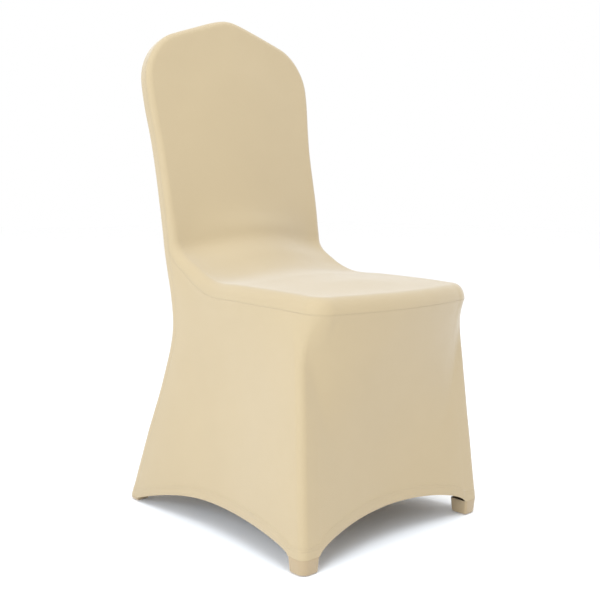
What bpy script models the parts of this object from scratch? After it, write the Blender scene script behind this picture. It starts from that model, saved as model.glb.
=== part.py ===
"""Stretch cover for a banquet chair: one knitted slip over the seat, the back and the four legs.

Metres, +Z up, the chair facing -Y. The origin is on the floor, under the middle of the cover.
"""
import math

import bpy
import numpy as np

# Cloth
SHEET = 0.0016
SEAM_GAP = 0.0003

# Seat part of the front panel's seam in side view, from the middle of the front edge back to the junction.
# Lift is how far the pad stands off the seam, roll the width of its rounded edge, crown its extra rise.
FRONT_COLUMNS = ("y", "z", "half_width", "lift_y", "lift_z", "roll", "crown")
SEAT_ROWS = (
    (-0.271, 0.413, 0.196, 0.000, 0.027, 0.020, 0.004),
    (-0.149, 0.418, 0.197, 0.000, 0.027, 0.019, 0.007),
    (-0.048, 0.421, 0.196, 0.000, 0.027, 0.018, 0.008),
    (0.042, 0.426, 0.193, -0.004, 0.025, 0.018, 0.014),
    (0.102, 0.453, 0.190, -0.011, 0.019, 0.018, 0.022),
)

# Foot pockets: rounded square cups round the feet, with their own width, height and outer corner radius.
# Their walls lean in by the taper, a share of the depth.
FRONT_POCKET = {"width": 0.038, "height": 0.028, "round": 0.014}
REAR_POCKET = {"width": 0.029, "height": 0.008, "round": 0.012}
POCKET_TAPER = 0.065
POCKET_INNER_ROUND = 0.005
SOLE_ROUND = 0.005

# Rear seam in side view, from the pocket of the rear foot up to the crown.
# Back is how far the rear face stands behind the seam, belly how far its middle stands out.
REAR_COLUMNS = FRONT_COLUMNS + ("back_y", "back_z", "belly")
REAR_ROWS = (
    (0.252, REAR_POCKET["height"], 0.217, 0.000, 0.000, 0.018, 0.000, 0.019, 0.000, 0.000),
    (0.206, 0.140, 0.206, 0.000, 0.000, 0.018, 0.000, 0.019, 0.000, -0.004),
    (0.160, 0.268, 0.195, 0.000, 0.000, 0.018, 0.000, 0.019, 0.000, -0.005),
    (0.135, 0.341, 0.194, -0.012, 0.000, 0.018, 0.000, 0.019, 0.000, -0.003),
    (0.154, 0.504, 0.193, -0.013, 0.010, 0.017, 0.030, 0.023, 0.000, 0.000),
    (0.163, 0.570, 0.194, -0.012, 0.003, 0.014, 0.014, 0.023, -0.003, 0.003),
    (0.186, 0.690, 0.195, -0.011, 0.002, 0.012, 0.006, 0.022, -0.005, 0.005),
    (0.207, 0.820, 0.203, -0.010, 0.002, 0.012, 0.005, 0.023, -0.005, 0.004),
    (0.220, 0.948, 0.189, -0.009, 0.002, 0.012, 0.003, 0.024, -0.005, 0.002),
)
JUNCTION_ROW = 4

# Outline of the seat's front and of the crown
SEAT_CORNER = 0.041
SEAT_BOW = 0.016
CROWN_SLOPE = 0.347
CROWN_POINT_RADIUS = 0.0255
SHOULDER_START = 0.137
SHOULDER_DROP = 0.067

# Front legs, where the cloth turns the corner: at the floor and under the seat
LEG_FOOT = (0.231, -0.254)
LEG_TOP = (0.206, -0.218)
LEG_TOP_HEIGHT = 0.405
LEG_ROUND = FRONT_POCKET["round"]
BACK_ROUND = REAR_POCKET["round"]
SWELL_EDGE = 0.120

# Skirt: how deep the seat's outline carries down at the legs and in the middle of the front,
# how soon the cloth's columns reach their place at the hem, and how far it draws in between the legs
SEAT_BLEND = 0.090
FRONT_BLEND = 0.300
COLUMN_SETTLE = 1.3
SKIRT_HOLLOW = 0.0085
HEM_HOLLOW = 0.0135

# Hem arches between the feet: height of their middle over the floor, and how full they are at each end
FRONT_ARCH = {"rise": 0.066, "fullness": 1.65}
SIDE_ARCH = {"rise": 0.053, "front_fullness": 1.95, "rear_fullness": 1.00}
REAR_ARCH = {"rise": 0.060, "fullness": 1.2}

# Steps of the meshes; the seat's first step is a share of its average step
COLUMNS = 20
SEAT_STEPS = 13
FIRST_STEP = 0.45
BACK_STEPS = 12
LEG_STEPS = 11
CORNER_STEPS = 6
ROLL_STEPS = 4
WALL_STEPS = 2
ROUND_STEPS = 3
POCKET_CORNER_STEPS = 4
SHARP_EDGE = math.radians(60.0)
SAME_POINT = 1.0e-6

CLOTH_COLOUR = (0.78, 0.69, 0.55, 1.0)
POCKET_COLOUR = (0.74, 0.65, 0.51, 1.0)
CLOTH_ROUGHNESS = 0.75


class Curve:
    """A smooth curve through the rows of a table, read by the distance along its side view."""

    def __init__(self, columns, rows, end_slope=None):
        self.columns = columns
        self.rows = np.array(rows, float)
        steps = np.hypot(np.diff(self.rows[:, 0]), np.diff(self.rows[:, 1]))
        self.keys = np.concatenate([[0.0], np.cumsum(steps)])
        self.slopes = np.gradient(self.rows, self.keys, axis=0)
        if end_slope is not None:
            self.slopes[-1] = end_slope
        self.length = self.keys[-1]

    def at(self, distance):
        distance = np.asarray(distance, float)
        place = np.searchsorted(self.keys, distance, side="right") - 1
        place = np.clip(place, 0, len(self.keys) - 2)
        step = (self.keys[place + 1] - self.keys[place])[..., None]
        part = (distance[..., None] - self.keys[place][..., None]) / step
        start, end = self.rows[place], self.rows[place + 1]
        leave, arrive = self.slopes[place] * step, self.slopes[place + 1] * step
        value = start + part * leave + part**2 * (3 * (end - start) - 2 * leave - arrive)
        value = value + part**3 * (2 * (start - end) + leave + arrive)
        return {name: value[..., i] for i, name in enumerate(self.columns)}


def make_curves():
    """The rear seam and the seat's seam, which leaves it smoothly at the junction."""
    rear = Curve(REAR_COLUMNS, REAR_ROWS)
    junction = rear.keys[JUNCTION_ROW]
    shared = [REAR_COLUMNS.index(name) for name in FRONT_COLUMNS]
    rows = list(SEAT_ROWS) + [[REAR_ROWS[JUNCTION_ROW][i] for i in shared]]
    seat = Curve(FRONT_COLUMNS, rows, rear.slopes[JUNCTION_ROW][shared])
    return seat, rear, junction


def front_section(curves, distance):
    """What the tables say at a distance along the front panel's edge, over the seat and up the back."""
    seat, rear, junction = curves
    distance = np.asarray(distance, float)
    on_seat = seat.at(np.minimum(distance, seat.length))
    on_back = rear.at(junction + np.maximum(distance - seat.length, 0.0))
    return {name: np.where(distance < seat.length, on_seat[name], on_back[name]) for name in FRONT_COLUMNS}


def smooth_step(value):
    value = np.clip(value, 0.0, 1.0)
    return value * value * (3.0 - 2.0 * value)


def crown_drop(across, half_width):
    """How far the crown's outline lies under its peak: two soft slopes, then round shoulders."""
    side = np.abs(across)
    slope = CROWN_SLOPE * (np.hypot(side, CROWN_POINT_RADIUS) - CROWN_POINT_RADIUS)
    shoulder = np.clip((side - SHOULDER_START) / (half_width - SHOULDER_START), 0.0, 1.0)
    return slope + SHOULDER_DROP * (1.0 - np.sqrt(1.0 - shoulder**2))


def seat_outline(curves):
    """Half of the seat's corner arc, the bowed front edge, and the other half, left to right."""
    half = CORNER_STEPS // 2
    start = SEAT_BOW + SEAT_CORNER
    centre = float(front_section(curves, start)["half_width"]) - SEAT_CORNER
    angles = np.radians(np.linspace(45.0, 90.0, half + 1))
    arc = np.stack([-centre - SEAT_CORNER * np.cos(angles), start - SEAT_CORNER * np.sin(angles)], -1)
    across = np.linspace(-centre, centre, COLUMNS - 2 * half + 1)
    middle = np.stack([across, SEAT_BOW * (across / centre)**2], -1)
    return np.concatenate([arc[:-1], middle, arc[::-1][1:] * (-1.0, 1.0)])


def side_outline(curves):
    """Left edge of the front panel, from the middle of the corner arc up to the shoulder."""
    seat = curves[0]
    half = CORNER_STEPS // 2
    start = SEAT_BOW + SEAT_CORNER
    centre = float(front_section(curves, start)["half_width"]) - SEAT_CORNER
    angles = np.radians(np.linspace(45.0, 0.0, half + 1))
    arc = np.stack([-centre - SEAT_CORNER * np.cos(angles), start - SEAT_CORNER * np.sin(angles)], -1)
    part = np.linspace(0.0, 1.0, SEAT_STEPS + 1)
    along_seat = start + (seat.length - start) * part * (FIRST_STEP + (1.0 - FIRST_STEP) * part)
    along_back = np.linspace(seat.length, shoulder_distance(curves), BACK_STEPS + 1)
    along = np.concatenate([along_seat[1:], along_back[1:]])
    edge = np.stack([-front_section(curves, along)["half_width"], along], -1)
    return np.concatenate([arc, edge])


def top_distance(curves):
    seat, rear, junction = curves
    return seat.length + rear.length - junction


def top_half_width():
    return REAR_ROWS[-1][REAR_COLUMNS.index("half_width")]


def shoulder_distance(curves):
    width = top_half_width()
    return top_distance(curves) - float(crown_drop(width, width))


def crown_outline(curves):
    """Left to right over the crown, closer points on the round shoulders."""
    width = float(front_section(curves, shoulder_distance(curves))["half_width"])
    on_shoulder = COLUMNS // 4
    turn = np.radians(np.linspace(0.0, 90.0, on_shoulder + 1))[:-1]
    shoulder = SHOULDER_START + (width - SHOULDER_START) * np.cos(turn)
    middle = np.linspace(-SHOULDER_START, SHOULDER_START, COLUMNS - 2 * on_shoulder + 1)
    across = np.concatenate([-shoulder, middle, shoulder[::-1]])
    return np.stack([across, top_distance(curves) - crown_drop(across, width)], -1)


def inward_normals(line, closed):
    """Unit normals to the left of a flat line's direction."""
    ahead = np.roll(line, -1, axis=0)
    behind = np.roll(line, 1, axis=0)
    if not closed:
        ahead[-1] = line[-1]
        behind[0] = line[0]
    along = ahead - behind
    along /= np.linalg.norm(along, axis=1, keepdims=True)
    return np.stack([-along[:, 1], along[:, 0]], -1)


def fill_patch(bottom, top, left, right):
    """Grid between four flat edges, straight blends of opposite sides."""
    u = np.linspace(0.0, 1.0, len(bottom))[:, None, None]
    v = np.linspace(0.0, 1.0, len(left))[None, :, None]
    between = (1.0 - v) * bottom[:, None] + v * top[:, None] + (1.0 - u) * left[None] + u * right[None]
    corners = (1.0 - u) * ((1.0 - v) * bottom[0] + v * top[0]) + u * ((1.0 - v) * bottom[-1] + v * top[-1])
    return between - corners


def front_panel(curves):
    """Rings of the rounded edge, seam first, and the grid inside them."""
    front, side, crown = seat_outline(curves), side_outline(curves), crown_outline(curves)
    right = side * (-1.0, 1.0)
    edge = np.concatenate([front[:-1], right[:-1], crown[::-1][:-1], side[::-1][:-1]])
    inward = inward_normals(edge, closed=True)
    roll = front_section(curves, edge[:, 1])["roll"]
    rings = []
    for step in range(ROLL_STEPS + 1):
        turn = 0.5 * math.pi * step / ROLL_STEPS
        flat = edge + inward * (roll * (1.0 - math.cos(turn)))[:, None]
        rings.append(place_on_front(curves, flat, math.sin(turn)))
    corner_2 = COLUMNS + len(side) - 1
    corner_3 = corner_2 + COLUMNS
    left = np.concatenate([flat[corner_3:], flat[:1]])[::-1]
    right_edge = flat[COLUMNS:corner_2 + 1]
    grid = fill_patch(flat[:COLUMNS + 1], flat[corner_2:corner_3 + 1][::-1], left, right_edge)
    rise = front_section(curves, grid[..., 1])["crown"] * swell(grid, from_bottom=True)
    return rings, place_on_front(curves, grid, 1.0, rise)


def place_on_front(curves, flat, lift, rise=0.0):
    """Flat (across, distance) points raised off the seam by a share of the lift, plus a rise."""
    here = front_section(curves, flat[..., 1])
    size = np.hypot(here["lift_y"], here["lift_z"])
    y = here["y"] + here["lift_y"] * (lift + rise / size)
    z = here["z"] + here["lift_z"] * (lift + rise / size)
    return np.stack([flat[..., 0], y, z], -1)


def swell(grid, from_bottom):
    """Share of a patch's full rise: one in the middle, nothing at its sides, top and, if asked, bottom."""
    across = grid[..., 0] / grid[-1:, :, 0]
    share = (1.0 - across**2)**2 * smooth_step((grid[:, -1:, 1] - grid[..., 1]) / SWELL_EDGE)
    if from_bottom:
        share = share * smooth_step((grid[..., 1] - grid[:, :1, 1]) / SWELL_EDGE)
    return share


def arch_height(from_pocket, half_span, foot, rise, fullness):
    """Height of a hem arch, steep where it leaves a pocket's rim and flat in the middle of its span."""
    part = np.clip(from_pocket / half_span, 0.0, 1.0)
    return foot + (rise - foot) * (1.0 - (1.0 - part)**2)**(1.0 / fullness)


def eased(start, end, steps):
    """From start to end, closer steps at both ends."""
    return start + (end - start) * 0.5 * (1.0 - np.cos(np.linspace(0.0, math.pi, steps + 1)))


def eased_out(start, end, steps):
    """From start to end, closer steps at the start."""
    return start + (end - start) * (1.0 - np.cos(np.linspace(0.0, 0.5 * math.pi, steps + 1)))


def leg_corner(height):
    part = height / LEG_TOP_HEIGHT
    x = LEG_FOOT[0] + (LEG_TOP[0] - LEG_FOOT[0]) * part
    y = LEG_FOOT[1] + (LEG_TOP[1] - LEG_FOOT[1]) * part
    return x, y


def rear_seam(curves, junction_point):
    """Left rear seam from the junction down to the pocket."""
    _, rear, junction = curves
    here = rear.at(np.linspace(junction, 0.0, LEG_STEPS + 1))
    seam = np.stack([-here["half_width"], here["y"], here["z"]], -1)
    seam[0] = junction_point
    return seam


def draw_in(height):
    """How far the stretched skirt lies inside the line from leg to leg, at the middle of a side."""
    part = np.clip(height / LEG_TOP_HEIGHT, 0.0, 1.0)
    return SKIRT_HOLLOW * 4.0 * part * (1.0 - part) + HEM_HOLLOW * (1.0 - part)**2


def side_point(seam, part, height):
    """A point of the left side between the rear seam (part 0) and the front leg's corner (part 1)."""
    rear_y = np.interp(height, seam[::-1, 2], seam[::-1, 1])
    rear_x = np.interp(height, seam[::-1, 2], seam[::-1, 0])
    leg_x, leg_y = leg_corner(height)
    x = rear_x + (-leg_x - rear_x) * part + draw_in(height) * (4.0 * part * (1.0 - part))**2
    y = rear_y + (leg_y + LEG_ROUND - rear_y) * part
    return np.stack([x, y, height], -1)


def corner_point(turn, height):
    """A point of the left front corner, turn 0 on the side and 90 degrees on the front."""
    leg_x, leg_y = leg_corner(height)
    x = -leg_x + LEG_ROUND * (1.0 - np.cos(turn))
    y = leg_y + LEG_ROUND * (1.0 - np.sin(turn))
    return np.stack([x, y, height], -1)


def front_point(part, height):
    """A point of the front's left half between the corner (part 0) and the middle (part 1)."""
    leg_x, leg_y = leg_corner(height)
    x = (LEG_ROUND - leg_x) * (1.0 - part)
    y = leg_y + draw_in(height) * (1.0 - (1.0 - part)**2)**2
    return np.stack([x, y, height], -1)


def side_hem_height(from_rear, half_span):
    """Height of a side's hem at a distance in front of the rear pocket."""
    if from_rear <= half_span:
        distance, pocket, fullness = from_rear, REAR_POCKET, SIDE_ARCH["rear_fullness"]
    else:
        distance, pocket, fullness = 2.0 * half_span - from_rear, FRONT_POCKET, SIDE_ARCH["front_fullness"]
    return arch_height(distance, half_span, pocket["height"], SIDE_ARCH["rise"], fullness)


def skirt(edge, seam):
    """Columns from the left junction round the front to the right junction, each from seam to hem."""
    sides = (len(edge) - 2 * COLUMNS) // 2 - BACK_STEPS
    top = np.concatenate([edge[-sides:], edge[:COLUMNS + sides + 1]])
    middle = len(top) // 2
    corner = sides - CORNER_STEPS
    levels = np.linspace(0.0, 1.0, LEG_STEPS + 1)
    side_span = seam[-1, 1] - LEG_FOOT[1] - LEG_ROUND
    rear_reach = REAR_POCKET["width"] - REAR_ROWS[0][REAR_COLUMNS.index("back_y")]
    front_reach = FRONT_POCKET["width"] - LEG_ROUND
    front_span = LEG_FOOT[0] - LEG_ROUND
    front_steps = middle - corner - CORNER_STEPS
    hem_side = np.concatenate([[0.0], eased(rear_reach, side_span - front_reach, corner - 2), [side_span]])
    hem_front = np.concatenate([[0.0], eased_out(front_reach, front_span, front_steps - 1)])
    side_half = 0.5 * (side_span - rear_reach - front_reach)
    columns = []
    for i in range(middle + 1):
        if i <= corner:
            height = side_hem_height(hem_side[i] - rear_reach, side_half)
            at_top = (top[0, 1] - top[i, 1]) / (top[0, 1] - top[corner, 1])
            at_hem = hem_side[i] / side_span
        elif i <= corner + CORNER_STEPS:
            height = FRONT_POCKET["height"]
            turn = 0.5 * math.pi * (i - corner) / CORNER_STEPS
        else:
            reach = hem_front[i - corner - CORNER_STEPS]
            from_pocket = reach - front_reach
            height = arch_height(from_pocket, front_span - front_reach, FRONT_POCKET["height"], **FRONT_ARCH)
            at_top = 1.0 - top[i, 0] / top[corner + CORNER_STEPS, 0]
            at_hem = reach / front_span
        z = top[i, 2] + (height - top[i, 2]) * levels
        if corner < i <= corner + CORNER_STEPS:
            column = corner_point(turn, z)
        else:
            part = at_top + (at_hem - at_top) * smooth_step(COLUMN_SETTLE * levels)
            column = side_point(seam, part, z) if i <= corner else front_point(part, z)
        blend = SEAT_BLEND
        if i > corner + CORNER_STEPS:
            blend += (FRONT_BLEND - SEAT_BLEND) * at_top * (2.0 - at_top)
        fade = np.clip(1.0 - (top[i, 2] - z) / blend, 0.0, 1.0)**2
        column[:, :2] += (top[i, :2] - column[0, :2]) * fade[:, None]
        columns.append(column)
    columns[0] = seam
    columns = np.array(columns)
    return np.concatenate([columns, columns[:-1][::-1] * (-1.0, 1.0, 1.0)])


def back_panel(curves, front_edge, seam):
    """Rings from the seam round the back's edge, open at the hem, and the grid of the rear face."""
    seat, rear, junction = curves
    side, crown = side_outline(curves), crown_outline(curves)
    low = np.linspace(0.0, junction, LEG_STEPS + 1)
    low_edge = np.stack([-rear.at(low)["half_width"], low], -1)
    to_rear = np.array([0.0, junction - seat.length])
    left = np.concatenate([low_edge, side[-BACK_STEPS:] + to_rear])
    edge = np.concatenate([left, crown[1:-1] + to_rear, left[::-1] * (-1.0, 1.0)])
    inward = -inward_normals(edge, closed=False)
    inward[0] = (1.0, 0.0)
    inward[-1] = (-1.0, 0.0)
    here = rear.at(edge[:, 1])
    size = np.hypot(here["back_y"], here["back_z"])
    rings = []
    first = COLUMNS + len(side) - BACK_STEPS
    upper = front_edge[first:first + COLUMNS + 2 * BACK_STEPS - 1]
    rings.append(np.concatenate([seam[::-1], upper[::-1], seam * (-1.0, 1.0, 1.0)]))
    for step in range(1, WALL_STEPS):
        rings.append(place_on_back(rear, edge, (size - BACK_ROUND) * step / WALL_STEPS / size))
    for step in range(ROUND_STEPS + 1):
        turn = 0.5 * math.pi * step / ROUND_STEPS
        flat = edge + inward * BACK_ROUND * (1.0 - math.cos(turn))
        rings.append(place_on_back(rear, flat, (size - BACK_ROUND * (1.0 - math.sin(turn))) / size))
    rows = len(left)
    hem = rear_hem(rear, -flat[0, 0])
    top = flat[rows - 1:rows + COLUMNS]
    grid = fill_patch(hem, top, flat[:rows], flat[::-1][:rows])
    here = rear.at(grid[..., 1])
    size = np.hypot(here["back_y"], here["back_z"])
    rise = here["belly"] * swell(grid, from_bottom=False)
    return rings, place_on_back(rear, grid, 1.0 + rise / size)


def place_on_back(rear, flat, share):
    """Flat (across, distance) points set behind the rear seam by a share of the back's depth."""
    here = rear.at(flat[..., 1])
    y = here["y"] + here["back_y"] * share
    z = here["z"] + here["back_z"] * share
    return np.stack([flat[..., 0], y, z], -1)


def rear_hem(rear, inner_edge):
    """Lower edge of the rear face, left to right, with its arch between the pockets."""
    half_width = float(rear.at(0.0)["half_width"])
    reach = half_width - REAR_POCKET["width"]
    across = np.concatenate([[-inner_edge], eased(-reach, reach, COLUMNS - 2), [inner_edge]])
    height = arch_height(reach - np.abs(across), reach, REAR_POCKET["height"], **REAR_ARCH)
    along = np.linspace(0.0, rear.keys[1], LEG_STEPS + 1)
    return np.stack([across, np.interp(height, rear.at(along)["z"], along)], -1)


def pocket_outline(centre, width, outer_round, outer_corner):
    """Rounded square seen from above, anticlockwise, with a larger radius on the foot's outer corner."""
    points = []
    for corner, (sign_x, sign_y) in enumerate(((1, -1), (1, 1), (-1, 1), (-1, -1))):
        radius = outer_round if (sign_x, sign_y) == outer_corner else POCKET_INNER_ROUND
        start = math.radians(90.0 * corner - 90.0)
        for step in range(POCKET_CORNER_STEPS + 1):
            turn = start + 0.5 * math.pi * step / POCKET_CORNER_STEPS
            x = centre[0] + sign_x * (0.5 * width - radius) + radius * math.cos(turn)
            y = centre[1] + sign_y * (0.5 * width - radius) + radius * math.sin(turn)
            points.append((x, y))
    return np.array(points)


def foot_pocket(size, outer, sides):
    """Levels of a foot pocket, from its rim with the given outer corner down to the middle of its sole."""
    width, height = size["width"], size["height"]
    centre = np.array(outer) - 0.5 * width * np.array(sides)
    depth = height - SOLE_ROUND
    levels = [(height - SEAM_GAP, 0.0), (height - 0.5 * depth, 0.5 * depth * POCKET_TAPER)]
    for step in range(ROUND_STEPS + 1):
        turn = 0.5 * math.pi * step / ROUND_STEPS
        inset = depth * POCKET_TAPER + SOLE_ROUND * (1.0 - math.cos(turn))
        levels.append((SOLE_ROUND * (1.0 - math.sin(turn)), inset))
    rings = []
    for level, inset in levels:
        flat = pocket_outline(centre, width - 2.0 * inset, size["round"], sides)
        rings.append(np.column_stack([flat, np.full(len(flat), level)]))
    rings.append(np.broadcast_to((centre[0], centre[1], 0.0), rings[0].shape))
    grid = np.array(rings)
    return np.concatenate([grid, grid[:, :1]], axis=1)


def point_key(point):
    return tuple(int(round(value / SAME_POINT)) for value in point)


def gather(grids):
    """Points and faces of several grids, with the points that they share merged."""
    numbers, points, faces = {}, [], []
    for grid in grids:
        rows, columns = grid.shape[:2]
        index = np.empty((rows, columns), int)
        for i in range(rows):
            for j in range(columns):
                key = point_key(grid[i, j])
                if key not in numbers:
                    numbers[key] = len(points)
                    points.append(grid[i, j])
                index[i, j] = numbers[key]
        for i in range(rows - 1):
            for j in range(columns - 1):
                corners = (index[i, j], index[i + 1, j], index[i + 1, j + 1], index[i, j + 1])
                face = tuple(int(corner) for corner in dict.fromkeys(corners))
                if len(face) > 2:
                    faces.append(face)
    return np.array(points), faces


def surface_normals(pieces):
    """Summed face normals at each point, over all pieces that meet there."""
    normals = {}
    for points, faces in pieces.values():
        for face in faces:
            corners = points[list(face)]
            normal = np.cross(corners[2] - corners[0], corners[-1] - corners[1])
            for corner in corners:
                key = point_key(corner)
                normals[key] = normals.get(key, 0.0) + normal
    return normals


def point_normals(points, normals, rim_heights):
    """Unit normals of one piece's points, laid level where the piece stands on a pocket's rim."""
    found = np.array([normals[point_key(point)] for point in points])
    for height in rim_heights:
        found[np.abs(points[:, 2] - height) < SAME_POINT, 2] = 0.0
    return found / np.linalg.norm(found, axis=1, keepdims=True)


def border(faces):
    """Edges that only one face has, in that face's direction."""
    edges = [(face[i - 1], face[i]) for face in faces for i in range(len(face))]
    known = set(edges)
    return [edge for edge in edges if (edge[1], edge[0]) not in known]


def trim_seams(points, faces, normals, shared):
    """Draws the edges that lie on a seam back by half of the gap between two pieces."""
    pulls = {}
    for start, end in border(faces):
        if point_key(points[start]) in shared and point_key(points[end]) in shared:
            inward = np.cross(normals[start] + normals[end], points[end] - points[start])
            inward /= np.linalg.norm(inward)
            pulls.setdefault(start, []).append(inward)
            pulls.setdefault(end, []).append(inward)
    trimmed = points.copy()
    for number, inward in pulls.items():
        spread = 1.0 + inward[0] @ inward[-1]
        both = inward[0] + inward[-1]
        trimmed[number] += both * 0.5 * SEAM_GAP / spread
    return trimmed


def thicken(points, faces, normals):
    """A closed sheet of even thickness under the outer surface."""
    count = len(points)
    solid = np.concatenate([points, points - normals * SHEET])
    inner = [tuple(number + count for number in reversed(face)) for face in faces]
    rim = [(end, start, start + count, end + count) for start, end in border(faces)]
    return solid, list(faces) + inner + rim


def cloth_material(name, colour):
    material = bpy.data.materials.new(name)
    material.use_nodes = True
    shader = material.node_tree.nodes["Principled BSDF"]
    shader.inputs["Base Color"].default_value = colour
    shader.inputs["Roughness"].default_value = CLOTH_ROUGHNESS
    shader.inputs["Metallic"].default_value = 0.0
    return material


def add_piece(name, points, faces, colour):
    mesh = bpy.data.meshes.new(name)
    mesh.from_pydata(points.tolist(), [], faces)
    mesh.validate()
    mesh.shade_smooth()
    mesh.set_sharp_from_angle(angle=SHARP_EDGE)
    mesh.materials.append(cloth_material(name + "_cloth", colour))
    piece = bpy.data.objects.new(name, mesh)
    bpy.context.scene.collection.objects.link(piece)
    return piece


def ring_grid(rings, closed):
    grid = np.stack(rings, axis=1)
    return np.concatenate([grid, grid[:1]]) if closed else grid


def cover_pieces():
    """Outer surfaces of the seven cut pieces, by name."""
    curves = make_curves()
    front_rings, front_grid = front_panel(curves)
    seam = rear_seam(curves, front_rings[0][-CORNER_STEPS // 2 - SEAT_STEPS])
    back_rings, back_grid = back_panel(curves, front_rings[0], seam)
    skirt_grid = skirt(front_rings[0], seam)
    pieces = {
        "front_panel": gather([ring_grid(front_rings, True), front_grid]),
        "back_panel": gather([ring_grid(back_rings, False), back_grid.swapaxes(0, 1)]),
        "skirt": gather([skirt_grid.swapaxes(0, 1)]),
    }
    front_x, front_y = leg_corner(FRONT_POCKET["height"])
    foot = curves[1].at(0.0)
    rear_x, rear_y = float(foot["half_width"]), float(foot["y"] + foot["back_y"])
    for side_name, side in (("left", -1), ("right", 1)):
        front = foot_pocket(FRONT_POCKET, (side * front_x, front_y), (side, -1))
        rear = foot_pocket(REAR_POCKET, (side * rear_x, rear_y), (side, 1))
        pieces["foot_pocket_front_" + side_name] = gather([front])
        pieces["foot_pocket_rear_" + side_name] = gather([rear])
    return pieces


def main():
    for piece in list(bpy.data.objects):
        bpy.data.objects.remove(piece)
    pieces = cover_pieces()
    normals = surface_normals(pieces)
    owners = {}
    for name, (points, _) in pieces.items():
        for point in points:
            owners.setdefault(point_key(point), set()).add(name)
    shared = {key for key, names in owners.items() if len(names) > 1}
    for name, (points, faces) in pieces.items():
        outward = point_normals(points, normals, (FRONT_POCKET["height"], REAR_POCKET["height"]))
        trimmed = trim_seams(points, faces, outward, shared)
        solid, solid_faces = thicken(trimmed, faces, outward)
        colour = POCKET_COLOUR if name.startswith("foot_pocket") else CLOTH_COLOUR
        add_piece(name, solid, solid_faces, colour)


main()
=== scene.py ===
"""Looks of the stretch chair cover: fine cloth sheets, knit, seams, hems and the studio."""
import math

import bpy
import numpy as np
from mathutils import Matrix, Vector, noise


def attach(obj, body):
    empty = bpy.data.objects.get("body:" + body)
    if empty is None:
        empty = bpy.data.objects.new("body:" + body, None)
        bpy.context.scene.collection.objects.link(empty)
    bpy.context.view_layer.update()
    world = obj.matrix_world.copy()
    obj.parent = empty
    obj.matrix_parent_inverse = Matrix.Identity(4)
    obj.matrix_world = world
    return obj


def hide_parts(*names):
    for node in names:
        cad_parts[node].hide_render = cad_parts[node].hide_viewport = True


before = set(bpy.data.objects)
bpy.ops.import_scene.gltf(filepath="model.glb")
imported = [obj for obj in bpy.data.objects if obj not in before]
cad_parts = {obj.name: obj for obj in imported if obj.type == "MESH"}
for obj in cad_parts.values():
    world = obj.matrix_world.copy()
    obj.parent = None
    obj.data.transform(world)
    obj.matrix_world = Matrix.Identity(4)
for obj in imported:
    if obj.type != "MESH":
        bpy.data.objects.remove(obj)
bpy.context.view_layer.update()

# Cloth, in metres: the sheet, the gap at a seam, the folded allowance behind it, and the doubled hem with
# the step at its upper edge. Far is the distance given to points that are near no seam or hem.
SHEET = 0.0016
SEAM_GAP = 0.0001
ALLOWANCE = 0.007
ALLOWANCE_SHEET = 0.0008
HEM_WIDTH = 0.020
HEM_PROUD = 0.0004
HEM_STEP = 0.002
FAR = 0.100

# The two points between a free edge's outer and inner side: turns round a hem in degrees, and shares of
# the sheet's thickness where a pocket's flat rim stands against the cloth
HEM_TURNS = (50.0, 130.0)
RIM_SHARES = (0.33, 0.67)

# Faint unevenness of the stretched cloth: wide waves, and finer ones of half their depth
WAVE = 0.085
FINE_WAVE = 0.4 * WAVE
FINE_WAVE_SHARE = 0.5
UNEVEN_DEPTH = 0.0005

# Knit, in metres: the ribs' spacing and the loops' along them, how far the loops lean, and their share of
# the knit's depth
WALE = 0.0010
COURSE = 0.0008
LOOP_LEAN = 0.5
LOOP_SHARE = 0.25
KNIT_DEPTH = 0.00006
FIBRE_DEPTH = 0.00003

# Seams and hems, in metres: the groove along a seam, the ridge of the allowance under it, the edge of the
# doubled hem, and two rows of stitches. A stitch's dent fades out over its width, and at its ends over
# these shares of a stitch, and the gap between two keeps a share of the depth.
GROOVE = (0.0002, 0.0014)
GROOVE_DEPTH = 0.00022
RIDGE = (0.6 * ALLOWANCE, 1.4 * ALLOWANCE)
RIDGE_HEIGHT = 0.00012
HEM_EDGE = (HEM_WIDTH - 0.0012, HEM_WIDTH)
HEM_STITCHES = (0.0030, 0.0070)
STITCH = 0.0032
STITCH_WIDTH = (0.0003, 0.0011)
STITCH_ENDS = (0.25, 0.45)
STITCH_GAP_DEPTH = 0.3
STITCH_DEPTH = 0.00016

# Colours, the shares of brightness that noise adds, and the painted shade that darkens the grooves at seams
# and the dents of stitches
WHITE = (1.0, 1.0, 1.0, 1.0)
CLOTH_COLOUR = (0.420, 0.326, 0.192, 1.0)
POCKET_COLOUR = (0.375, 0.280, 0.165, 1.0)
CLOTH_ROUGHNESS = 0.62
CLOTH_SPECULAR = 0.25
SHEEN_WEIGHT = 0.50
SHEEN_ROUGHNESS = 0.45
FIBRE_NOISE = {"Scale": 900.0, "Detail": 2.0}
MOTTLE_NOISE = {"Scale": 11.0, "Detail": 3.0}
BASE_SHADE = 0.955
MOTTLE_SHADE = 0.05
FIBRE_SHADE = 0.04
# Painted shade: how much darker the seam grooves and stitch dents are drawn
GROOVE_PAINTED_SHADE = 0.05
STITCH_PAINTED_SHADE = 0.05

# Camera: where it looks, from where, and how far its lens reaches for a 600 pixel frame
CAMERA_AIM = (-0.0026, -0.0005, 0.4050)
CAMERA_DISTANCE = 1.7125
CAMERA_AZIMUTH = -42.91
CAMERA_ELEVATION = 6.43
CAMERA_LENS = 54.2
CAMERA_SENSOR = 36.0
CAMERA_CLIP = (0.05, 100.0)

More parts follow.
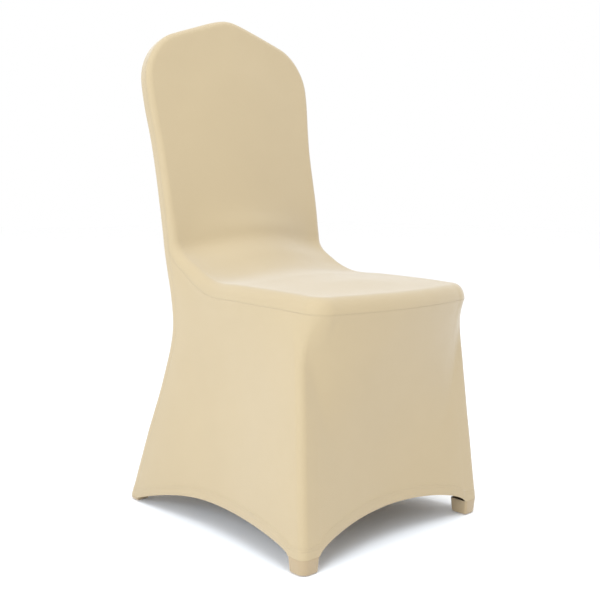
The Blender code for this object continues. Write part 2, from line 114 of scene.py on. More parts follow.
# Studio: two soft boxes that face one place, the light of the white room, and a matt floor
LIGHT_COLUMNS = ("name", "place", "size", "power", "colour")
LIGHTS = (
    ("left_softbox", (-2.3, -0.7, 0.95), 1.7, 39.0, (0.77, 0.87, 1.0)),
    ("top_softbox", (-0.2, -0.6, 3.0), 2.4, 54.0, (0.83, 0.91, 1.0)),
)
LIGHT_AIM = (0.0, 0.0, 0.4)
ROOM_LIGHT = 1.0
FLOOR_ROUGHNESS = 0.9
FLOOR_SPECULAR = 0.1
FLOOR_SIZE = 30.0

# Seat part of the front panel's seam in side view, from the middle of the front edge back to the junction.
# Lift is how far the pad stands off the seam, roll the width of its rounded edge, crown its extra rise.
FRONT_COLUMNS = ("y", "z", "half_width", "lift_y", "lift_z", "roll", "crown")
SEAT_ROWS = (
    (-0.271, 0.413, 0.196, 0.000, 0.027, 0.020, 0.004),
    (-0.149, 0.418, 0.197, 0.000, 0.027, 0.019, 0.007),
    (-0.048, 0.421, 0.196, 0.000, 0.027, 0.018, 0.008),
    (0.042, 0.426, 0.193, -0.004, 0.025, 0.018, 0.014),
    (0.102, 0.453, 0.190, -0.011, 0.019, 0.018, 0.022),
)

# Foot pockets: rounded square cups round the feet, with their own width, height and outer corner radius.
# Their walls lean in by the taper, a share of the depth.
FRONT_POCKET = {"width": 0.038, "height": 0.028, "round": 0.014}
REAR_POCKET = {"width": 0.029, "height": 0.008, "round": 0.012}
POCKET_RIMS = (FRONT_POCKET["height"], REAR_POCKET["height"])
POCKET_TAPER = 0.065
POCKET_INNER_ROUND = 0.005
SOLE_ROUND = 0.005

# Rear seam in side view, from the pocket of the rear foot up to the crown.
# Back is how far the rear face stands behind the seam, belly how far its middle stands out.
REAR_COLUMNS = FRONT_COLUMNS + ("back_y", "back_z", "belly")
REAR_ROWS = (
    (0.252, REAR_POCKET["height"], 0.217, 0.000, 0.000, 0.018, 0.000, 0.019, 0.000, 0.000),
    (0.206, 0.140, 0.206, 0.000, 0.000, 0.018, 0.000, 0.019, 0.000, -0.004),
    (0.160, 0.268, 0.195, 0.000, 0.000, 0.018, 0.000, 0.019, 0.000, -0.005),
    (0.135, 0.341, 0.194, -0.012, 0.000, 0.018, 0.000, 0.019, 0.000, -0.003),
    (0.154, 0.504, 0.193, -0.013, 0.010, 0.017, 0.030, 0.023, 0.000, 0.000),
    (0.163, 0.570, 0.194, -0.012, 0.003, 0.014, 0.014, 0.023, -0.003, 0.003),
    (0.186, 0.690, 0.195, -0.011, 0.002, 0.012, 0.006, 0.022, -0.005, 0.005),
    (0.207, 0.820, 0.203, -0.010, 0.002, 0.012, 0.005, 0.023, -0.005, 0.004),
    (0.220, 0.948, 0.189, -0.009, 0.002, 0.012, 0.003, 0.024, -0.005, 0.002),
)
JUNCTION_ROW = 4

# Outline of the seat's front, and of the crown with its blunt point and round shoulders. A panel's middle
# swells out of its edges over the swell's width.
SEAT_CORNER = 0.041
SEAT_BOW = 0.016
CROWN_SLOPE = 0.347
CROWN_POINT_RADIUS = 0.0255
SHOULDER_START = 0.137
SHOULDER_DROP = 0.067
SWELL_EDGE = 0.120

# Front legs, where the cloth turns the corner: at the floor and under the seat. The legs' corners and the
# back panel's edge are rounded like the pockets under them.
LEG_FOOT = (0.231, -0.254)
LEG_TOP = (0.206, -0.218)
LEG_TOP_HEIGHT = 0.405
LEG_ROUND = FRONT_POCKET["round"]
BACK_ROUND = REAR_POCKET["round"]

# Skirt: how deep the seat's outline carries down at the legs and in the middle of the front,
# how soon the cloth's columns reach their place at the hem, and how far it draws in between the legs
SEAT_BLEND = 0.090
FRONT_BLEND = 0.300
COLUMN_SETTLE = 1.3
SKIRT_HOLLOW = 0.0085
HEM_HOLLOW = 0.0135

# Hem arches between the feet: height of their middle over the floor, and how full they are at each end
FRONT_ARCH = {"rise": 0.066, "fullness": 1.65}
SIDE_ARCH = {"rise": 0.053, "front_fullness": 1.95, "rear_fullness": 1.00}
REAR_ARCH = {"rise": 0.060, "fullness": 1.2}

# Steps of the meshes. The seat's first step is a share of its average step. The skirt's side steps end in
# the middle of the seat's corner, and the last of them turn round the leg.
COLUMNS = 72
SEAT_STEPS = 56
FIRST_STEP = 0.45
BACK_STEPS = 56
LEG_STEPS = 56
CORNER_STEPS = 14
ROLL_STEPS = 10
WALL_STEPS = 4
ROUND_STEPS = 7
POCKET_CORNER_STEPS = 8
POCKET_STEPS = 4
SIDE_STEPS = SEAT_STEPS + CORNER_STEPS // 2
SKIRT_LEVELS = np.linspace(0.0, 1.0, LEG_STEPS + 1)

# Edges sharper than this angle stay sharp, and points that round to the same step of this size are one
SHARP_EDGE = math.radians(50.0)
SAME_POINT = 1.0e-6


class Curve:
    """A smooth curve through the rows of a table, read by the distance along its side view."""

    def __init__(self, columns, rows, end_slope=None):
        self.columns = columns
        self.rows = np.array(rows, float)
        steps = np.hypot(np.diff(self.rows[:, 0]), np.diff(self.rows[:, 1]))
        self.keys = np.concatenate([[0.0], np.cumsum(steps)])
        self.slopes = np.gradient(self.rows, self.keys, axis=0)
        if end_slope is not None:
            self.slopes[-1] = end_slope
        self.length = self.keys[-1]

    def at(self, distance):
        distance = np.asarray(distance, float)
        place = np.searchsorted(self.keys, distance, side="right") - 1
        place = np.clip(place, 0, len(self.keys) - 2)
        step = (self.keys[place + 1] - self.keys[place])[..., None]
        part = (distance[..., None] - self.keys[place][..., None]) / step
        start, end = self.rows[place], self.rows[place + 1]
        leave, arrive = self.slopes[place] * step, self.slopes[place + 1] * step
        value = start + part * leave + part**2 * (3 * (end - start) - 2 * leave - arrive)
        value = value + part**3 * (2 * (start - end) + leave + arrive)
        return {name: value[..., i] for i, name in enumerate(self.columns)}


def make_curves():
    """The rear seam and the seat's seam, which leaves it smoothly at the junction."""
    rear = Curve(REAR_COLUMNS, REAR_ROWS)
    junction = rear.keys[JUNCTION_ROW]
    shared = [REAR_COLUMNS.index(name) for name in FRONT_COLUMNS]
    rows = list(SEAT_ROWS) + [[REAR_ROWS[JUNCTION_ROW][i] for i in shared]]
    seat = Curve(FRONT_COLUMNS, rows, rear.slopes[JUNCTION_ROW][shared])
    return seat, rear, junction


def front_section(curves, distance):
    """What the tables say at a distance along the front panel's edge, over the seat and up the back."""
    seat, rear, junction = curves
    distance = np.asarray(distance, float)
    on_seat = seat.at(np.minimum(distance, seat.length))
    on_back = rear.at(junction + np.maximum(distance - seat.length, 0.0))
    return {name: np.where(distance < seat.length, on_seat[name], on_back[name]) for name in FRONT_COLUMNS}


def smooth_step(value):
    """From 0 to 1 as the value goes from 0 to 1, level at both ends."""
    value = np.clip(value, 0.0, 1.0)
    return value * value * (3.0 - 2.0 * value)


def crown_drop(across, half_width):
    """How far the crown's outline lies under its peak: two soft slopes, then round shoulders."""
    side = np.abs(across)
    slope = CROWN_SLOPE * (np.hypot(side, CROWN_POINT_RADIUS) - CROWN_POINT_RADIUS)
    shoulder = np.clip((side - SHOULDER_START) / (half_width - SHOULDER_START), 0.0, 1.0)
    return slope + SHOULDER_DROP * (1.0 - np.sqrt(1.0 - shoulder**2))


def corner_arc(curves, first, last):
    """Half of the seat's left corner arc between two angles, and how far off the middle its centre is."""
    start = SEAT_BOW + SEAT_CORNER
    centre = float(front_section(curves, start)["half_width"]) - SEAT_CORNER
    angles = np.radians(np.linspace(first, last, CORNER_STEPS // 2 + 1))
    arc = np.stack([-centre - SEAT_CORNER * np.cos(angles), start - SEAT_CORNER * np.sin(angles)], -1)
    return arc, centre


def seat_outline(curves):
    """The seat's front, left to right: half of a corner's arc, the bowed edge, half of the other arc."""
    arc, centre = corner_arc(curves, 45.0, 90.0)
    across = np.linspace(-centre, centre, COLUMNS - CORNER_STEPS + 1)
    middle = np.stack([across, SEAT_BOW * (across / centre)**2], -1)
    return np.concatenate([arc[:-1], middle, arc[::-1][1:] * (-1.0, 1.0)])


def side_outline(curves):
    """Left edge of the front panel, from the middle of the corner arc up to the shoulder."""
    seat = curves[0]
    arc, _ = corner_arc(curves, 45.0, 0.0)
    start = SEAT_BOW + SEAT_CORNER
    part = np.linspace(0.0, 1.0, SEAT_STEPS + 1)
    along_seat = start + (seat.length - start) * part * (FIRST_STEP + (1.0 - FIRST_STEP) * part)
    along_back = np.linspace(seat.length, shoulder_distance(curves), BACK_STEPS + 1)
    along = np.concatenate([along_seat[1:], along_back[1:]])
    edge = np.stack([-front_section(curves, along)["half_width"], along], -1)
    return np.concatenate([arc, edge])


def top_distance(curves):
    """Distance along the front panel's edge to the height of the crown's peak."""
    seat, rear, junction = curves
    return seat.length + rear.length - junction


def shoulder_distance(curves):
    """Distance along the front panel's edge to the foot of the crown's round shoulders."""
    width = REAR_ROWS[-1][REAR_COLUMNS.index("half_width")]
    return top_distance(curves) - float(crown_drop(width, width))


def crown_outline(curves):
    """Left to right over the crown, closer points on the round shoulders."""
    width = float(front_section(curves, shoulder_distance(curves))["half_width"])
    on_shoulder = COLUMNS // 4
    turn = np.radians(np.linspace(0.0, 90.0, on_shoulder + 1))[:-1]
    shoulder = SHOULDER_START + (width - SHOULDER_START) * np.cos(turn)
    middle = np.linspace(-SHOULDER_START, SHOULDER_START, COLUMNS - 2 * on_shoulder + 1)
    across = np.concatenate([-shoulder, middle, shoulder[::-1]])
    line = np.stack([across, top_distance(curves) - crown_drop(across, width)], -1)
    line[[0, -1], 1] = shoulder_distance(curves)
    return line


def inward_normals(line, closed):
    """Unit normals to the left of a flat line's direction."""
    ahead = np.roll(line, -1, axis=0)
    behind = np.roll(line, 1, axis=0)
    if not closed:
        ahead[-1] = line[-1]
        behind[0] = line[0]
    along = ahead - behind
    along /= np.linalg.norm(along, axis=1, keepdims=True)
    return np.stack([-along[:, 1], along[:, 0]], -1)


def fill_patch(bottom, top, left, right):
    """Grid between four flat edges, straight blends of opposite sides."""
    u = np.linspace(0.0, 1.0, len(bottom))[:, None, None]
    v = np.linspace(0.0, 1.0, len(left))[None, :, None]
    between = (1.0 - v) * bottom[:, None] + v * top[:, None] + (1.0 - u) * left[None] + u * right[None]
    corners = (1.0 - u) * ((1.0 - v) * bottom[0] + v * top[0]) + u * ((1.0 - v) * bottom[-1] + v * top[-1])
    return between - corners


def cumulative(grid, axis):
    """Distances along a grid's lines, from their first points."""
    lengths = np.linalg.norm(np.diff(grid, axis=axis), axis=-1)
    first = np.zeros_like(np.take(lengths, [0], axis=axis))
    return np.concatenate([first, np.cumsum(lengths, axis=axis)], axis=axis)


class Patch:
    """A grid of points, their places on the flat cloth, and how far they are from a seam and the hem."""

    def __init__(self, points, cloth, run=0.0, seam=FAR, hem=FAR):
        shape = points.shape[:2]
        self.points = points
        self.cloth = cloth
        self.run = np.broadcast_to(run, shape)
        self.seam = np.broadcast_to(seam, shape)
        self.hem = np.broadcast_to(hem, shape)


def ring_patch(rings, inner_flat, inward, closed):
    """The rings of a panel's edge as a patch, rows along the seam and columns away from it."""
    points = np.stack(rings, axis=1)
    if closed:
        points = np.concatenate([points, points[:1]])
        inner_flat = np.concatenate([inner_flat, inner_flat[:1]])
        inward = np.concatenate([inward, inward[:1]])
    from_seam = cumulative(points, 1)
    to_inner = from_seam[:, -1:] - from_seam
    cloth = inner_flat[:, None] - inward[:, None] * to_inner[..., None]
    run = cumulative(points[:, :1], 0)
    return Patch(points, cloth, run, from_seam)


def front_panel(curves):
    """Patches of the seat and the backrest's front: the rounded edge, and the grid inside it."""
    front, side, crown = seat_outline(curves), side_outline(curves), crown_outline(curves)
    mirrored = side * (-1.0, 1.0)
    edge = np.concatenate([front[:-1], mirrored[:-1], crown[::-1][:-1], side[::-1][:-1]])
    inward = inward_normals(edge, closed=True)
    roll = front_section(curves, edge[:, 1])["roll"]
    rings = []
    for step in range(ROLL_STEPS + 1):
        turn = 0.5 * math.pi * step / ROLL_STEPS
        flat = edge + inward * (roll * (1.0 - math.cos(turn)))[:, None]
        rings.append(place_on_front(curves, flat, math.sin(turn)))
    right_shoulder = COLUMNS + len(side) - 1
    left_shoulder = right_shoulder + COLUMNS
    bottom, right = flat[:COLUMNS + 1], flat[COLUMNS:right_shoulder + 1]
    top = flat[right_shoulder:left_shoulder + 1][::-1]
    left = np.concatenate([flat[left_shoulder:], flat[:1]])[::-1]
    grid = fill_patch(bottom, top, left, right)
    rise = front_section(curves, grid[..., 1])["crown"] * swell(grid, from_bottom=True)
    inside = Patch(place_on_front(curves, grid, 1.0, rise), grid)
    return [ring_patch(rings, flat, inward, True), inside]


def place_on_front(curves, flat, lift, rise=0.0):
    """Flat (across, distance) points raised off the seam by a share of the lift, plus a rise."""
    here = front_section(curves, flat[..., 1])
    size = np.hypot(here["lift_y"], here["lift_z"])
    y = here["y"] + here["lift_y"] * (lift + rise / size)
    z = here["z"] + here["lift_z"] * (lift + rise / size)
    return np.stack([flat[..., 0], y, z], -1)


def swell(grid, from_bottom):
    """Share of a patch's full rise: one in the middle, nothing at its sides, top and, if asked, bottom."""
    across = grid[..., 0] / grid[-1:, :, 0]
    share = (1.0 - across**2)**2 * smooth_step((grid[:, -1:, 1] - grid[..., 1]) / SWELL_EDGE)
    if from_bottom:
        share = share * smooth_step((grid[..., 1] - grid[:, :1, 1]) / SWELL_EDGE)
    return share


def arch_height(from_pocket, half_span, foot, rise, fullness):
    """Height of a hem arch, steep where it leaves a pocket's rim and flat in the middle of its span."""
    part = np.clip(from_pocket / half_span, 0.0, 1.0)
    return foot + (rise - foot) * (1.0 - (1.0 - part)**2)**(1.0 / fullness)


def eased(start, end, steps):
    """From start to end, closer steps at both ends."""
    return start + (end - start) * 0.5 * (1.0 - np.cos(np.linspace(0.0, math.pi, steps + 1)))


def eased_out(start, end, steps):
    """From start to end, closer steps at the start."""
    return start + (end - start) * (1.0 - np.cos(np.linspace(0.0, 0.5 * math.pi, steps + 1)))


def leg_corner(height):
    """Where the outer corner of the right front leg is at a height."""
    part = height / LEG_TOP_HEIGHT
    x = LEG_FOOT[0] + (LEG_TOP[0] - LEG_FOOT[0]) * part
    y = LEG_FOOT[1] + (LEG_TOP[1] - LEG_FOOT[1]) * part
    return x, y


def rear_seam(curves, junction_point):
    """Left rear seam from the junction down to the pocket."""
    _, rear, junction = curves
    here = rear.at(np.linspace(junction, 0.0, LEG_STEPS + 1))
    seam = np.stack([-here["half_width"], here["y"], here["z"]], -1)
    seam[0] = junction_point
    return seam


def draw_in(height):
    """How far the stretched skirt lies inside the line from leg to leg, at the middle of a side."""
    part = np.clip(height / LEG_TOP_HEIGHT, 0.0, 1.0)
    return SKIRT_HOLLOW * 4.0 * part * (1.0 - part) + HEM_HOLLOW * (1.0 - part)**2


def side_point(seam, part, height):
    """A point of the left side between the rear seam (part 0) and the front leg's corner (part 1)."""
    rear_y = np.interp(height, seam[::-1, 2], seam[::-1, 1])
    rear_x = np.interp(height, seam[::-1, 2], seam[::-1, 0])
    leg_x, leg_y = leg_corner(height)
    x = rear_x + (-leg_x - rear_x) * part + draw_in(height) * (4.0 * part * (1.0 - part))**2
    y = rear_y + (leg_y + LEG_ROUND - rear_y) * part
    return np.stack([x, y, height], -1)


def corner_point(turn, height):
    """A point of the left front corner, turn 0 on the side and 90 degrees on the front."""
    leg_x, leg_y = leg_corner(height)
    x = -leg_x + LEG_ROUND * (1.0 - np.cos(turn))
    y = leg_y + LEG_ROUND * (1.0 - np.sin(turn))
    return np.stack([x, y, height], -1)


def front_point(part, height):
    """A point of the front's left half between the corner (part 0) and the middle (part 1)."""
    leg_x, leg_y = leg_corner(height)
    x = (LEG_ROUND - leg_x) * (1.0 - part)
    y = leg_y + draw_in(height) * (1.0 - (1.0 - part)**2)**2
    return np.stack([x, y, height], -1)


def side_hem_height(from_rear, half_span):
    """Height of a side's hem at a distance in front of the rear pocket."""
    if from_rear <= half_span:
        distance, pocket, fullness = from_rear, REAR_POCKET, SIDE_ARCH["rear_fullness"]
    else:
        distance, pocket, fullness = 2.0 * half_span - from_rear, FRONT_POCKET, SIDE_ARCH["front_fullness"]
    return arch_height(distance, half_span, pocket["height"], SIDE_ARCH["rise"], fullness)


def column_heights(top, hem):
    """Heights of a skirt column's points, from the seat's seam down to the hem."""
    return top + (hem - top) * SKIRT_LEVELS


def column_places(at_top, at_hem):
    """Where a column's points lie between the legs, as parts of the way, from its top to its hem."""
    return at_top + (at_hem - at_top) * smooth_step(COLUMN_SETTLE * SKIRT_LEVELS)


def follow_seat(column, top, blend):
    """Moves a column to its point on the seat's seam, ever less over the blend's height below it."""
    fade = np.clip(1.0 - (top[2] - column[:, 2]) / blend, 0.0, 1.0)**2
    column[:, :2] += (top[:2] - column[0, :2]) * fade[:, None]
    return column


def side_columns(tops, seam):
    """The skirt's columns on the left side, from the rear seam to the front leg's corner."""
    span = seam[-1, 1] - LEG_FOOT[1] - LEG_ROUND
    rear_reach = REAR_POCKET["width"] - REAR_ROWS[0][REAR_COLUMNS.index("back_y")]
    front_reach = FRONT_POCKET["width"] - LEG_ROUND
    hem = np.concatenate([
        np.linspace(0.0, rear_reach, POCKET_STEPS + 1)[:-1],
        eased(rear_reach, span - front_reach, len(tops) - 1 - 2 * POCKET_STEPS),
        np.linspace(span - front_reach, span, POCKET_STEPS + 1)[1:],
    ])
    columns = []
    for top, reach in zip(tops, hem):
        height = side_hem_height(reach - rear_reach, 0.5 * (span - rear_reach - front_reach))
        at_top = (tops[0, 1] - top[1]) / (tops[0, 1] - tops[-1, 1])
        places = column_places(at_top, reach / span)
        column = side_point(seam, places, column_heights(top[2], height))
        columns.append(follow_seat(column, top, SEAT_BLEND))
    columns[0] = seam
    return columns


def corner_columns(tops):
    """The skirt's columns round the left front corner, after the first, which is the side's last."""
    columns = []
    for step in range(1, CORNER_STEPS + 1):
        turn = 0.5 * math.pi * step / CORNER_STEPS
        column = corner_point(turn, column_heights(tops[step, 2], FRONT_POCKET["height"]))
        columns.append(follow_seat(column, tops[step], SEAT_BLEND))
    return columns


def front_columns(tops):
    """The skirt's columns on the front's left half, after the corner's last and up to the middle."""
    front_reach = FRONT_POCKET["width"] - LEG_ROUND
    span = LEG_FOOT[0] - LEG_ROUND
    hem = np.concatenate([
        np.linspace(0.0, front_reach, POCKET_STEPS + 1)[:-1],
        eased_out(front_reach, span, len(tops) - 1 - POCKET_STEPS),
    ])
    columns = []
    for top, reach in zip(tops[1:], hem[1:]):
        height = arch_height(reach - front_reach, span - front_reach, FRONT_POCKET["height"], **FRONT_ARCH)
        at_top = 1.0 - top[0] / tops[0, 0]
        places = column_places(at_top, reach / span)
        column = front_point(places, column_heights(top[2], height))
        blend = SEAT_BLEND + (FRONT_BLEND - SEAT_BLEND) * at_top * (2.0 - at_top)
        columns.append(follow_seat(column, top, blend))
    return columns


def skirt(edge, seam):
    """Patch of the skirt: columns from seam to hem, from the right junction round the front to the left."""
    tops = np.concatenate([edge[-SIDE_STEPS:], edge[:COLUMNS // 2 + 1]])
    corner = SIDE_STEPS - CORNER_STEPS
    columns = side_columns(tops[:corner + 1], seam)
    columns += corner_columns(tops[corner:SIDE_STEPS + 1])
    columns += front_columns(tops[SIDE_STEPS:])
    columns = np.array(columns)
    points = np.concatenate([columns * (-1.0, 1.0, 1.0), columns[:-1][::-1]])
    down, across = cumulative(points, 1), cumulative(points, 0)
    from_side = np.minimum(across, across[-1:] - across)
    girth = 0.5 * (across[:, :1] + across[:, -1:])
    cloth = np.stack(np.broadcast_arrays(girth, -down), -1)
    run = np.where(from_side < down, down, across[:, :1])
    return Patch(points, cloth, run, np.minimum(down, from_side), down[:, -1:] - down)


def back_panel(curves, front_edge, seam):
    """Patches of the back: the wall and round from the seam, open at the hem, and the rear face."""
    seat, rear, junction = curves
    side, crown = side_outline(curves), crown_outline(curves)
    low = np.linspace(0.0, junction, LEG_STEPS + 1)
    low_edge = np.stack([-rear.at(low)["half_width"], low], -1)
    to_rear = np.array([0.0, junction - seat.length])
    left = np.concatenate([low_edge, side[-BACK_STEPS:] + to_rear])
    edge = np.concatenate([left, crown[1:-1] + to_rear, left[::-1] * (-1.0, 1.0)])
    inward = -inward_normals(edge, closed=False)
    inward[0] = (1.0, 0.0)
    inward[-1] = (-1.0, 0.0)
    size = back_depth(rear, edge[:, 1])
    first = COLUMNS + len(side) - BACK_STEPS
    upper = front_edge[first:first + COLUMNS + 2 * BACK_STEPS - 1]
    rings = [np.concatenate([seam[::-1], upper[::-1], seam * (-1.0, 1.0, 1.0)])]
    for step in range(1, WALL_STEPS):
        rings.append(place_on_back(rear, edge, (size - BACK_ROUND) * step / WALL_STEPS / size))
    for step in range(ROUND_STEPS + 1):
        turn = 0.5 * math.pi * step / ROUND_STEPS
        flat = edge + inward * BACK_ROUND * (1.0 - math.cos(turn))
        rings.append(place_on_back(rear, flat, (size - BACK_ROUND * (1.0 - math.sin(turn))) / size))
    rows = len(left)
    hem = rear_hem(rear, -flat[0, 0])
    top = flat[rows - 1:rows + COLUMNS]
    grid = fill_patch(hem, top, flat[:rows], flat[::-1][:rows]).swapaxes(0, 1)
    rise = rear.at(grid[..., 1])["belly"] * swell(grid.swapaxes(0, 1), from_bottom=False).swapaxes(0, 1)
    points = place_on_back(rear, grid, 1.0 + rise / back_depth(rear, grid[..., 1]))
    inside = Patch(points, grid, hem=cumulative(points, 0))
    around = ring_patch(rings, flat, inward, False)
    up = cumulative(around.points, 0)
    around.hem = np.minimum(up, up[-1:] - up)
    return [around, inside]


def back_depth(rear, along):
    """How far the rear face stands behind the seam at a distance along it."""
    here = rear.at(along)
    return np.hypot(here["back_y"], here["back_z"])


def place_on_back(rear, flat, share):
    """Flat (across, distance) points set behind the rear seam by a share of the back's depth."""
    here = rear.at(flat[..., 1])
    y = here["y"] + here["back_y"] * share
    z = here["z"] + here["back_z"] * share
    return np.stack([flat[..., 0], y, z], -1)


def rear_hem(rear, inner_edge):
    """Lower edge of the rear face, left to right, with its arch between the pockets."""
    half_width = float(rear.at(0.0)["half_width"])
    reach = half_width - REAR_POCKET["width"]
    spread = 0.5 * (eased(-reach, reach, COLUMNS - 2) + np.linspace(-reach, reach, COLUMNS - 1))
    across = np.concatenate([[-inner_edge], spread, [inner_edge]])
    height = arch_height(reach - np.abs(across), reach, REAR_POCKET["height"], **REAR_ARCH)
    along = np.linspace(0.0, rear.keys[1], LEG_STEPS + 1)
    return np.stack([across, np.interp(height, rear.at(along)["z"], along)], -1)


def pocket_outline(centre, width, outer_round, outer_corner):
    """Rounded square seen from above, anticlockwise, with a larger radius on the foot's outer corner."""
    points = []
    for corner, (sign_x, sign_y) in enumerate(((1, -1), (1, 1), (-1, 1), (-1, -1))):
        radius = outer_round if (sign_x, sign_y) == outer_corner else POCKET_INNER_ROUND
        start = math.radians(90.0 * corner - 90.0)
        for step in range(POCKET_CORNER_STEPS + 1):
            turn = start + 0.5 * math.pi * step / POCKET_CORNER_STEPS
            x = centre[0] + sign_x * (0.5 * width - radius) + radius * math.cos(turn)
            y = centre[1] + sign_y * (0.5 * width - radius) + radius * math.sin(turn)
            points.append((x, y))
    return np.array(points)


def foot_pocket(size, outer, sides):
    """Levels of a foot pocket, from its rim with the given outer corner down to the middle of its sole."""
    width, height = size["width"], size["height"]
    centre = np.array(outer) - 0.5 * width * np.array(sides)
    depth = height - SOLE_ROUND
    levels = [(height - SEAM_GAP, 0.0), (height - 0.5 * depth, 0.5 * depth * POCKET_TAPER)]
    for step in range(ROUND_STEPS + 1):
        turn = 0.5 * math.pi * step / ROUND_STEPS
        inset = depth * POCKET_TAPER + SOLE_ROUND * (1.0 - math.cos(turn))
        levels.append((SOLE_ROUND * (1.0 - math.sin(turn)), inset))
    rings = []
    for level, inset in levels:
        flat = pocket_outline(centre, width - 2.0 * inset, size["round"], sides)
        rings.append(np.column_stack([flat, np.full(len(flat), level)]))
    rings.append(np.broadcast_to((centre[0], centre[1], 0.0), rings[0].shape))
    grid = np.array(rings)
    return np.concatenate([grid, grid[:, :1]], axis=1)


def pocket_patch(size, outer, sides):
    """Patch of a foot pocket, its rim first and the middle of its sole last."""
    points = foot_pocket(size, outer, sides)
    down, around = cumulative(points, 0), cumulative(points[:1], 1)
    cloth = np.stack(np.broadcast_arrays(around, -down), -1)
    return Patch(points, cloth, around, down)


def cover_patches():
    """The outer surface of every cut piece, by the name of its node."""
    curves = make_curves()
    front = front_panel(curves)
    edge = front[0].points[:-1, 0]
    seam = rear_seam(curves, edge[-SIDE_STEPS])
    back = back_panel(curves, edge, seam)
    pieces = {"front_panel": front, "back_panel": back, "skirt": [skirt(edge, seam)]}
    front_x, front_y = leg_corner(FRONT_POCKET["height"])
    foot = curves[1].at(0.0)
    rear_x, rear_y = float(foot["half_width"]), float(foot["y"] + foot["back_y"])
    for name, side in (("left", -1), ("right", 1)):
        pocket = pocket_patch(FRONT_POCKET, (side * front_x, front_y), (side, -1))
        pieces["foot_pocket_front_" + name] = [pocket]
        pocket = pocket_patch(REAR_POCKET, (side * rear_x, rear_y), (side, 1))
        pieces["foot_pocket_rear_" + name] = [pocket]
    return pieces


def point_key(point):
    """A point's place in whole steps, the same for points that are one."""
    return tuple(int(round(value / SAME_POINT)) for value in point)


def gather(patches):
    """Points and faces of a piece, with the points that its patches share merged, and each face's facts.

    The facts of a corner are its place on the flat cloth, its run along the seam, and its distances from
    the seam and from the hem.
    """
    numbers, points, faces, facts = {}, [], [], []
    for patch in patches:
        rows, columns = patch.points.shape[:2]
        index = np.empty((rows, columns), int)
        for i in range(rows):
            for j in range(columns):
                key = point_key(patch.points[i, j])
                if key not in numbers:
                    numbers[key] = len(points)
                    points.append(patch.points[i, j])
                index[i, j] = numbers[key]
        known = np.dstack([patch.cloth, patch.run, patch.seam, patch.hem])
        for i in range(rows - 1):
            for j in range(columns - 1):
                corners = {}
                for place in ((i, j), (i + 1, j), (i + 1, j + 1), (i, j + 1)):
                    corners.setdefault(int(index[place]), known[place])
                if len(corners) > 2:
                    faces.append(tuple(corners))
                    facts.append(list(corners.values()))
    return np.array(points), faces, facts


def border(faces):
    """Edges that only one face has, in that face's direction, with the number of the face."""
    edges = [(face[i - 1], face[i], number) for number, face in enumerate(faces) for i in range(len(face))]
    known = {(start, end) for start, end, _ in edges}
    return [edge for edge in edges if (edge[1], edge[0]) not in known]


def surface_normals(pieces):
    """Summed face normals at each point, over all pieces that meet there."""
    normals = {}
    for points, faces, _ in pieces.values():
        for face in faces:
            corners = points[list(face)]
            normal = np.cross(corners[2] - corners[0], corners[-1] - corners[1])
            for corner in corners:
                key = point_key(corner)
                normals[key] = normals.get(key, 0.0) + normal
    return normals


def point_normals(points, normals):
    """Unit normals of one piece's points, laid level where the piece stands on a pocket's rim."""
    found = np.array([normals[point_key(point)] for point in points])
    for height in POCKET_RIMS:
        found[np.abs(points[:, 2] - height) < SAME_POINT, 2] = 0.0
    return found / np.linalg.norm(found, axis=1, keepdims=True)


def unit(vectors):
    """The vectors brought to a length of one."""
    return vectors / np.linalg.norm(vectors, axis=-1, keepdims=True)


def edge_turns(points, normals, edges):
    """For each border point, the direction along the sheet that leads into the piece."""
    pulls = {}
    for start, end, _ in edges:
        inward = unit(np.cross(normals[start] + normals[end], points[end] - points[start]))
        pulls.setdefault(start, []).append(inward)
        pulls.setdefault(end, []).append(inward)
    turns = {}
    for number, inward in pulls.items():
        turns[number] = (inward[0] + inward[-1]) / (1.0 + inward[0] @ inward[-1])
    return turns


def rim_profile(point, normal, inward, sewn, on_pocket):
    """Points that lead from the outer side of a border round to its inner side."""
    if sewn:
        fold = point - normal * ALLOWANCE
        return [fold, fold + inward * ALLOWANCE_SHEET]
    if on_pocket:
        return [point - normal * SHEET * share for share in RIM_SHARES]
    turns = np.radians(HEM_TURNS)
    across, out = 0.5 * SHEET * (1.0 - np.cos(turns)), 0.5 * SHEET * np.sin(turns)
    return [point - normal * across[i] - inward * out[i] for i in range(2)]


def thicken(points, faces, facts, normals, sewn):
    """A closed sheet: both sides, allowances folded inward along the seams, and rounded hems."""
    count = len(points)
    edges = border(faces)
    turns = edge_turns(points, normals, edges)
    outer, inner = points.copy(), points - normals * SHEET
    first, second = np.zeros_like(points), np.zeros_like(points)
    for number, inward in turns.items():
        on_pocket = min(abs(points[number, 2] - height) for height in POCKET_RIMS) < SEAM_GAP + SAME_POINT
        if sewn[number]:
            outer[number] += inward * 0.5 * SEAM_GAP
            inner[number] += inward * (0.5 * SEAM_GAP + ALLOWANCE_SHEET)
        rim = rim_profile(outer[number], normals[number], inward, sewn[number], on_pocket)
        first[number], second[number] = rim
    solid = np.concatenate([outer, inner, first, second])
    all_faces, all_facts = list(faces), list(facts)
    for face, known in zip(faces, facts):
        all_faces.append(tuple(number + count for number in reversed(face)))
        all_facts.append(known[::-1])
    for start, end, number in edges:
        face = faces[number]
        at_start, at_end = facts[number][face.index(start)], facts[number][face.index(end)]
        for upper, lower in ((0, 2), (2, 3), (3, 1)):
            quad = (end + upper * count, start + upper * count, start + lower * count, end + lower * count)
            all_faces.append(quad)
            all_facts.append([at_end, at_start, at_start, at_end])
    used = sorted({number for face in all_faces for number in face})
    place = np.full(len(solid), -1)
    place[used] = np.arange(len(used))
    return solid[used], [tuple(int(place[number]) for number in face) for face in all_faces], all_facts


